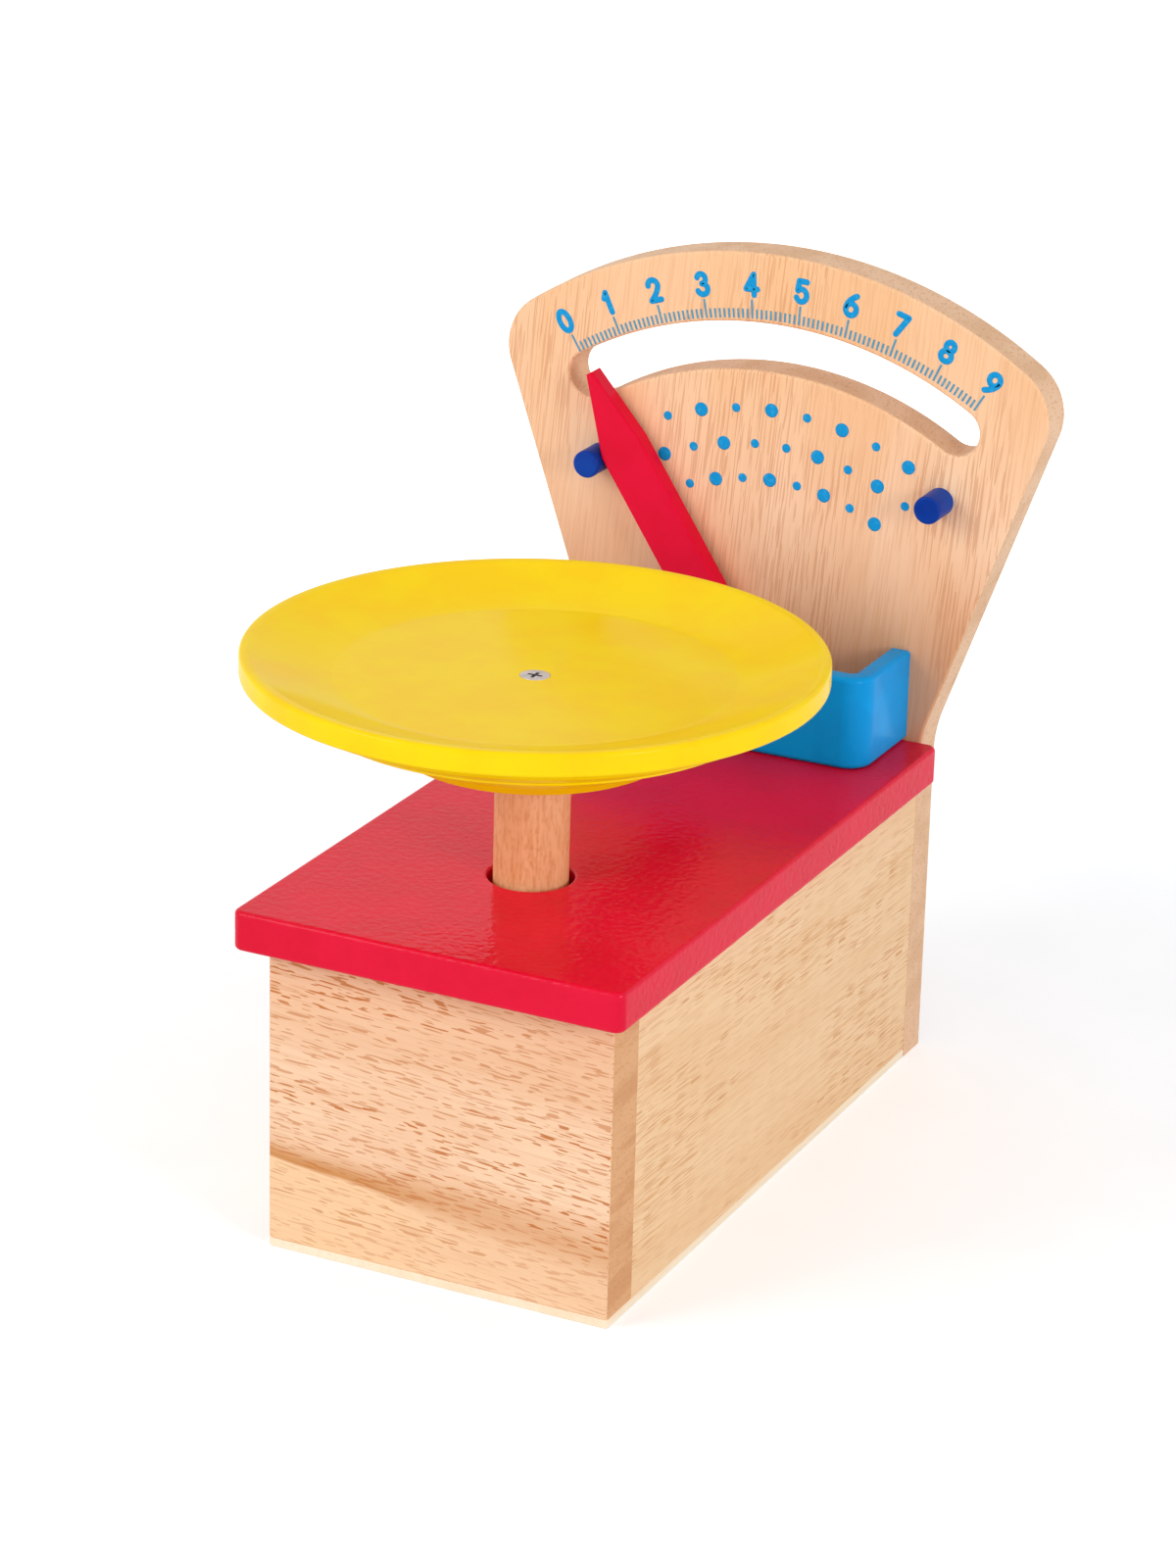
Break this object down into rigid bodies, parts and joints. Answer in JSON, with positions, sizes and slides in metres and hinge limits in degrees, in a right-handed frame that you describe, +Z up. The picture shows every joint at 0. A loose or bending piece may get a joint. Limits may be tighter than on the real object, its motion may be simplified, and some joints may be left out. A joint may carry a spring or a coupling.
{
  "type": "toy shop scale",
  "caption": "Wooden toy shop scale: a round pan on a sprung post tips a lever in the box and swings a pointer along a fan-shaped dial.",
  "frame": {"origin": "on the table under the middle of the whole scale's box", "axes": "+X to the right as one faces the dial, +Y to the back where the dial board stands, +Z up"},
  "size_m": [0.1666, 0.2336, 0.233],
  "materials": {
    "pale_wood": "plain sanded wood",
    "panel_wood": "plain sanded wood with upright grain",
    "dowel_wood": "plain dowel",
    "red_lacquer": "gloss lacquer on wood",
    "blue_lacquer": "gloss lacquer on wood",
    "dark_blue_lacquer": "gloss lacquer on wood",
    "yellow_lacquer": "gloss lacquer on wood",
    "steel": "zinc-plated steel",
    "spring_steel": "spring wire"
  },
  "bodies": {
    "box": {"base_board": "pale_wood", "base_screws": "steel", "front_board": "pale_wood", "left_side_board": "pale_wood", "right_side_board": "pale_wood", "dial_board": "panel_wood", "frame_dowels": "dowel_wood", "lid": "red_lacquer", "lid_dowels": "dowel_wood", "pointer_guard": "blue_lacquer", "left_stop_peg": "dark_blue_lacquer", "right_stop_peg": "dark_blue_lacquer", "return_spring": "spring_steel", "spring_seat": "dowel_wood", "rocker_axle": "steel", "left_axle_sleeve": "dowel_wood", "right_axle_sleeve": "dowel_wood", "pivot_screw": "steel", "pivot_spacer": "steel"},
    "pan_and_post": {"pan": "yellow_lacquer", "pan_screw": "steel", "pan_post": "dowel_wood", "post_foot": "dowel_wood", "foot_screw": "steel"},
    "rocker": {"rocker_beam": "pale_wood", "fork_upright": "pale_wood"},
    "pointer": {"pointer": "red_lacquer", "drive_pin": "steel"}
  },
  "joints": [
    {"name": "pan_slide", "type": "slide", "parent": "box", "child": "pan_and_post", "axis": [0, 0, 1], "range_m": [-0.013, 0], "stiffness_N_per_m": 300, "springref_m": 0.012, "deforming": ["return_spring"]},
    {"name": "rocker_tilt", "type": "hinge", "parent": "box", "child": "rocker", "pos_m": [0, 0.02375, 0.0649], "axis": [1, 0, 0], "range_deg": [0, 11.66]},
    {"name": "pointer_swing", "type": "hinge", "parent": "box", "child": "pointer", "pos_m": [0, 0.09875, 0.107], "axis": [0, 1, 0], "range_deg": [0, 66]}
  ],
  "couplings": [
    {"joint": "rocker_tilt", "follows": "pan_slide", "rad_per_m": -15.652},
    {"joint": "pointer_swing", "follows": "pan_slide", "rad_per_m": -88.608}
  ]
}
